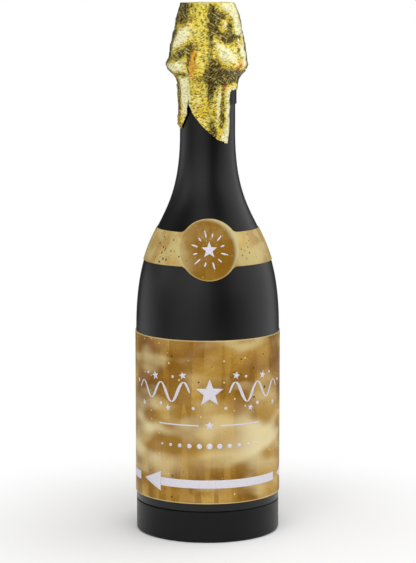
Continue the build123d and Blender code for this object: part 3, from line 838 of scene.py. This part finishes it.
def dot(x, y, radius):
    """Round dot as triangles."""
    rim = []
    for step in range(dot_sides):
        angle = math.tau * step / dot_sides
        rim.append((x + radius * math.sin(angle), y + radius * math.cos(angle)))
    return [((x, y), rim[step], rim[(step + 1) % dot_sides]) for step in range(dot_sides)]


def stroke(points, widths):
    """Brush stroke along points, with its own width at each one, as four-sided pieces."""
    edges = []
    for i, (x, y) in enumerate(points):
        before, after = points[max(0, i - 1)], points[min(len(points) - 1, i + 1)]
        along = Vector((after[0] - before[0], after[1] - before[1])).normalized()
        aside_x, aside_y = along.y * widths[i] / 2, along.x * widths[i] / 2
        edges.append(((x - aside_x, y + aside_y), (x + aside_x, y - aside_y)))
    return [(a[0], b[0], b[1], a[1]) for a, b in zip(edges, edges[1:])]


def arrow(x, y, length, head_length, head_height, shaft_height):
    """Arrow that points left, with its tip at x."""
    head = ((x, y), (x + head_length, y + head_height / 2), (x + head_length, y - head_height / 2))
    shaft = ((x + head_length, y + shaft_height / 2), (x + length, y + shaft_height / 2),
             (x + length, y - shaft_height / 2), (x + head_length, y - shaft_height / 2))
    return [head, shaft]


def lay_print(name, shapes, carrier):
    """Lay flat shapes, in arc length and height, on the outside of a solid."""
    mesh = bpy.data.meshes.new(name)
    work = bmesh.new()
    for shape in shapes:
        work.faces.new([work.verts.new((x, 0, y)) for x, y in shape])
    bmesh.ops.remove_doubles(work, verts=work.verts, dist=weld_distance)
    bmesh.ops.triangulate(work, faces=work.faces)
    for _ in range(most_cuts):
        long_edges = [edge for edge in work.edges if edge.calc_length() > longest_edge]
        if not long_edges:
            break
        bmesh.ops.subdivide_edges(work, edges=long_edges, cuts=1)
        bmesh.ops.triangulate(work, faces=work.faces)
    far = 2 * label_radius
    surface = BVHTree.FromObject(nodes[carrier], bpy.context.evaluated_depsgraph_get())
    middle = sum(vert.co.z for vert in work.verts) / len(work.verts)
    front = surface.ray_cast(Vector((0, -far, middle)), Vector((0, 1, 0)))[0]
    for vert in work.verts:
        angle = vert.co.x / -front.y
        outward = Vector((math.sin(angle), -math.cos(angle), 0))
        start = outward * far + Vector((0, 0, vert.co.z))
        place, normal, _, _ = surface.ray_cast(start, -outward)
        vert.co = place + normal * print_lift
    bmesh.ops.recalc_face_normals(work, faces=work.faces)
    outside = sum(face.normal.dot(face.calc_center_median()) for face in work.faces)
    if outside < 0:
        bmesh.ops.reverse_faces(work, faces=work.faces)
    work.to_mesh(mesh)
    work.free()
    mesh.shade_smooth()
    mesh.materials.append(ink)
    made = bpy.data.objects.new(name, mesh)
    bpy.context.scene.collection.objects.link(made)
    film = made.modifiers.new("film", "SOLIDIFY")
    film.thickness = print_thickness
    film.offset = 1
    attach(made, "bottle")


# Main motif of the label: a star with streamers, small stars and dots
motif_height = 84 * mm
main_star = 8 * mm
small_star_turn = 12
# Place aside, place above the motif's middle, and radius, in millimetres
small_stars = [(15, 9.5, 2.4), (24, -9, 2.0), (33, 8, 2.6), (43, -8.5, 1.8)]
small_dots = [(9, -8.5, 0.9), (21, 8.5, 0.8), (29, -7, 1.0), (39, 9, 0.8), (50, 3, 1.1)]
streamer_start, streamer_length = 11 * mm, 36 * mm
streamer_steps = 60
# Waves of a streamer: how many, how far they swing, and how much less at the end
streamer_waves, streamer_swing, streamer_calming = 2.5, 6 * mm, 0.35
# Width of a streamer where it turns, how much wider it is between, both in millimetres, and its taper
streamer_thin, streamer_swell, streamer_taper = 0.5, 1.5, 0.6
# Share of the width at its start, and share of its length over which it opens
streamer_tip, streamer_opening = 0.2, 0.1


def streamer(side):
    """Serpentine streamer that runs out from the star to one side."""
    points, widths = [], []
    for step in range(streamer_steps + 1):
        share = step / streamer_steps
        phase = share * streamer_waves * math.tau
        swing = streamer_swing * (1 - streamer_calming * share) * math.sin(phase)
        points.append((side * (streamer_start + share * streamer_length), motif_height + swing))
        swell = abs(math.cos(phase)) * (1 - streamer_taper * share)
        swell *= clamp(streamer_tip + share / streamer_opening)
        widths.append((streamer_thin + streamer_swell * swell) * mm)
    return stroke(points, widths)


motif = star(0, motif_height, main_star)
for side in (-1, 1):
    motif += streamer(side)
    for x, y, radius in small_stars:
        motif += star(side * x * mm, motif_height + y * mm, radius * mm, side * small_star_turn)
    for x, y, radius in small_dots:
        motif += dot(side * x * mm, motif_height + y * mm, radius * mm)
lay_print("label_motif", motif, "body_label")

# Divider under it: a rule with a star, and a row of dots that get smaller to both sides
rule_height = 66 * mm
rule_star = 2.8 * mm
rule_width = 0.8 * mm
dots_height = 54.5 * mm
dots_a_side = 5
# Places along the rule, and pitch, radius and shrinking of the dots, in millimetres
rule_places = range(6, 31)
dot_pitch, dot_radius, dot_shrink = 5.6, 1.7, 0.2
divider = star(0, rule_height, rule_star)
for side in (-1, 1):
    rule = [(side * x * mm, rule_height) for x in rule_places]
    divider += stroke(rule, [rule_width] * len(rule))
for step in range(-dots_a_side, dots_a_side + 1):
    divider += dot(step * dot_pitch * mm, dots_height, (dot_radius - dot_shrink * abs(step)) * mm)
lay_print("label_divider", divider, "body_label")

# Burst on the medallion: a star with short and long rays
burst_star = 4.6 * mm
ray_count = 12
ray_start, ray_middle, ray_ends = 6.6 * mm, 8 * mm, (9 * mm, 10.5 * mm)
ray_widths = [0.5 * mm, 0.9 * mm, 0.5 * mm]
burst = star(0, medallion_z, burst_star)
for step in range(ray_count):
    angle = math.tau * (step + 0.5) / ray_count
    reaches = (ray_start, ray_middle, ray_ends[step % 2])
    ray = [(reach * math.sin(angle), medallion_z + reach * math.cos(angle)) for reach in reaches]
    burst += stroke(ray, ray_widths)
lay_print("medallion_burst", burst, "shoulder_label")

# Arrows round the label's foot: angle of the tip and of the tail
arrow_height = 33.2 * mm
arrow_spans = [(-60.3, 62.7), (70.7, 174.7), (182.7, 292.2)]
head_length, head_height, shaft_height = 13.5 * mm, 11 * mm, 4.6 * mm
for index, (tip, tail) in enumerate(arrow_spans):
    start = math.radians(tip) * label_radius
    length = math.radians(tail - tip) * label_radius
    outline = arrow(start, arrow_height, length, head_length, head_height, shaft_height)
    lay_print(f"arrow_{index + 1}", outline, "body_label")


# Floor and light

floor_radius = 0.6
floor_sides = 96
floor_colour, floor_roughness = (0.88, 0.88, 0.88), 0.9
# The floor turns white between two distances, and clear between two shares of its radius
white_from, white_to = 0.07, 0.2
clear_from, clear_to = 0.7, 0.98


def build_floor():
    """Pale round floor that keeps the shadow near the popper and is white further out."""
    bpy.ops.mesh.primitive_circle_add(vertices=floor_sides, radius=floor_radius, fill_type="NGON")
    floor = bpy.context.object
    floor.name = "floor"
    made, tree, shader = new_material("floor", floor_colour, floor_roughness)
    out = distance(tree, add(tree, "TexCoord").outputs["Object"])
    path = add(tree, "LightPath").outputs
    seen = calculate(tree, "MAXIMUM", path["Is Camera Ray"], path["Is Glossy Ray"])
    seen = calculate(tree, "MAXIMUM", seen, path["Is Transmission Ray"])
    white = calculate(tree, "MULTIPLY", seen, fade(tree, out, white_from, white_to))
    glow = add(tree, "Emission", {"Color": (1, 1, 1, 1), "Strength": 1.0}).outputs[0]
    body = add(tree, "MixShader", {0: white, 1: shader.outputs[0], 2: glow}).outputs[0]
    clear = add(tree, "BsdfTransparent").outputs[0]
    edge = fade(tree, out, clear_from * floor_radius, clear_to * floor_radius)
    whole = add(tree, "MixShader", {0: edge, 1: body, 2: clear}).outputs[0]
    plug(tree, tree.nodes["Material Output"].inputs["Surface"], whole)
    floor.data.materials.append(made)


# Light around the popper, by angle from the camera: soft boxes at both sides, a dark gap right of the front
studio = [
    (-180, 1.0), (-174, 1.0), (-167, 0.05), (-148, 0.05), (-132, 0.6), (-118, 0.95), (-98, 0.75),
    (-75, 0.22), (-50, 0.6), (-25, 0.74), (0, 0.44), (18, 0.02), (36, 0.02), (60, 0.5), (85, 1.15),
    (125, 1.15), (145, 0.2), (152, 0.05), (167, 0.05), (174, 1.0), (180, 1.0),
]
# The same above eye level, where the cap's slopes look
upper_studio = [
    (-180, 1.0), (-174, 1.0), (-165, 0.05), (-142, 0.06), (-122, 0.15), (-106, 0.4), (-80, 1.35),
    (-60, 1.0), (-40, 1.3), (-10, 1.4), (4, 0.75), (16, 0.1), (28, 0.3), (48, 1.05), (70, 1.3),
    (130, 1.3), (148, 0.3), (160, 0.1), (172, 1.0), (180, 1.0),
]
# The same higher up, where the shoulder looks
high_studio = [
    (-180, 0.02), (-90, 0.02), (-60, 0.08), (-30, 0.65), (-10, 0.7), (10, 0.3), (24, 0.04), (40, 0.06),
    (60, 0.5), (85, 1.0), (120, 1.1), (150, 0.6), (180, 0.1),
]
# Heights, as the sine of the angle up, between which each ring takes over from the one below
rings = [(upper_studio, 0.05, 0.15), (high_studio, 0.36, 0.5)]
ceiling_from, ceiling_to, ceiling_light = 0.75, 0.95, 1.4

key_place, key_aim = (0, -1.5, 1.9), (0, 0, 0.12)
key_size, key_power = 2.4, 32


def around(tree, share, levels):
    """Light by angle, from (angle, level) pairs."""
    return ramp(tree, share, [(0.5 + turn / 360, (level,) * 3) for turn, level in levels])


def build_world():
    """Studio round the popper, with a soft white ceiling."""
    world = bpy.data.worlds.new("studio")
    world.use_nodes = True
    tree = world.node_tree
    direction = add(tree, "TexCoord").outputs["Generated"]
    split = add(tree, "SeparateXYZ", {0: direction}).outputs
    middle = 0.5 + camera_turn / math.tau
    share = calculate(tree, "MULTIPLY_ADD", angle_round(tree, split), 1 / math.tau, middle)
    colour = around(tree, share, studio)
    for levels, start, end in rings:
        colour = mix(tree, fade(tree, split["Z"], start, end), colour, around(tree, share, levels))
    ceiling = fade(tree, split["Z"], ceiling_from, ceiling_to)
    colour = mix(tree, ceiling, colour, (ceiling_light,) * 3)
    plug(tree, tree.nodes["Background"].inputs["Color"], colour)
    bpy.context.scene.world = world


def add_key_lamp():
    """Soft square lamp in front and above."""
    data = bpy.data.lights.new("key", "AREA")
    data.size = key_size
    data.energy = key_power
    lamp = bpy.data.objects.new("key", data)
    lamp.location = key_place
    lamp.rotation_euler = (Vector(key_aim) - Vector(key_place)).to_track_quat("-Z", "Y").to_euler()
    lamp.visible_glossy = False
    bpy.context.scene.collection.objects.link(lamp)


build_floor()
build_world()
add_key_lamp()


# Camera at the photograph's place

camera_distance = 1.3335
camera_height = 0.3354
camera_pitch = math.radians(8.342)
camera_yaw = camera_turn + math.radians(0.0095)
camera_lens = 154.3
camera_data = bpy.data.cameras.new("camera")
camera_data.lens = camera_lens
camera = bpy.data.objects.new("camera", camera_data)
aside, ahead = math.sin(camera_turn), math.cos(camera_turn)
camera.location = (-camera_distance * aside, -camera_distance * ahead, camera_height)
camera.rotation_euler = (math.pi / 2 - camera_pitch, 0, -camera_yaw)
bpy.context.scene.collection.objects.link(camera)
bpy.context.scene.camera = camera
bpy.context.scene.view_settings.view_transform = "Standard"
